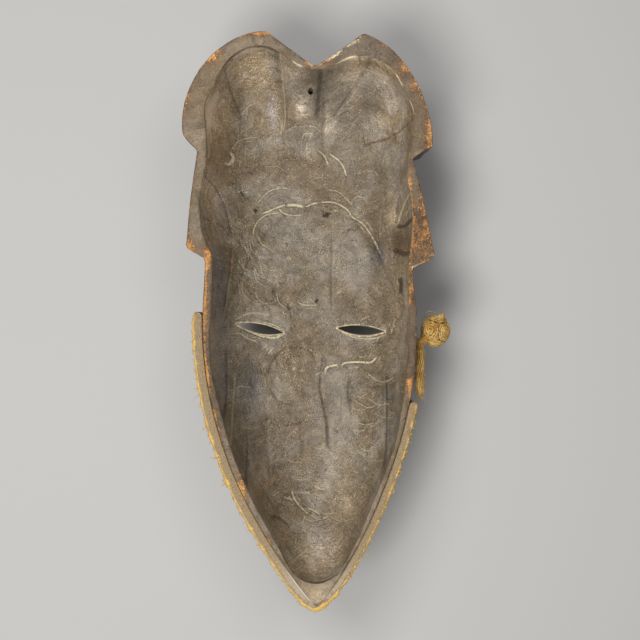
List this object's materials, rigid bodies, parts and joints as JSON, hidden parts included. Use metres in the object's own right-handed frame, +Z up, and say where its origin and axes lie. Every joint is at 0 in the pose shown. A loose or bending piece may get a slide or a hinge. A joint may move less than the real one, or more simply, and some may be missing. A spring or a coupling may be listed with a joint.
{
  "type": "carved wooden face mask",
  "caption": "Carved wooden face mask with a two-lobed coiffure, pointed chin, hollow back, plaited raffia beard band and knotted raffia button, lying face down.",
  "frame": {"origin": "centre of the underside of the whole object's box, on the surface that the mask lies on face down", "axes": "+Z up, out of the hollow back; +Y towards the top of the head; +X to the right as the hollow back is looked into"},
  "size_m": [0.196, 0.4204, 0.12],
  "materials": {
    "aged_wood": "matt, dusty, darkened with age, worn pale on the edges",
    "old_raffia": "dry plaited fibre, golden where frayed"
  },
  "bodies": {
    "root": {"mask_body": "aged_wood", "raffia_beard_band": "old_raffia", "raffia_knob": "old_raffia"}
  },
  "joints": []
}
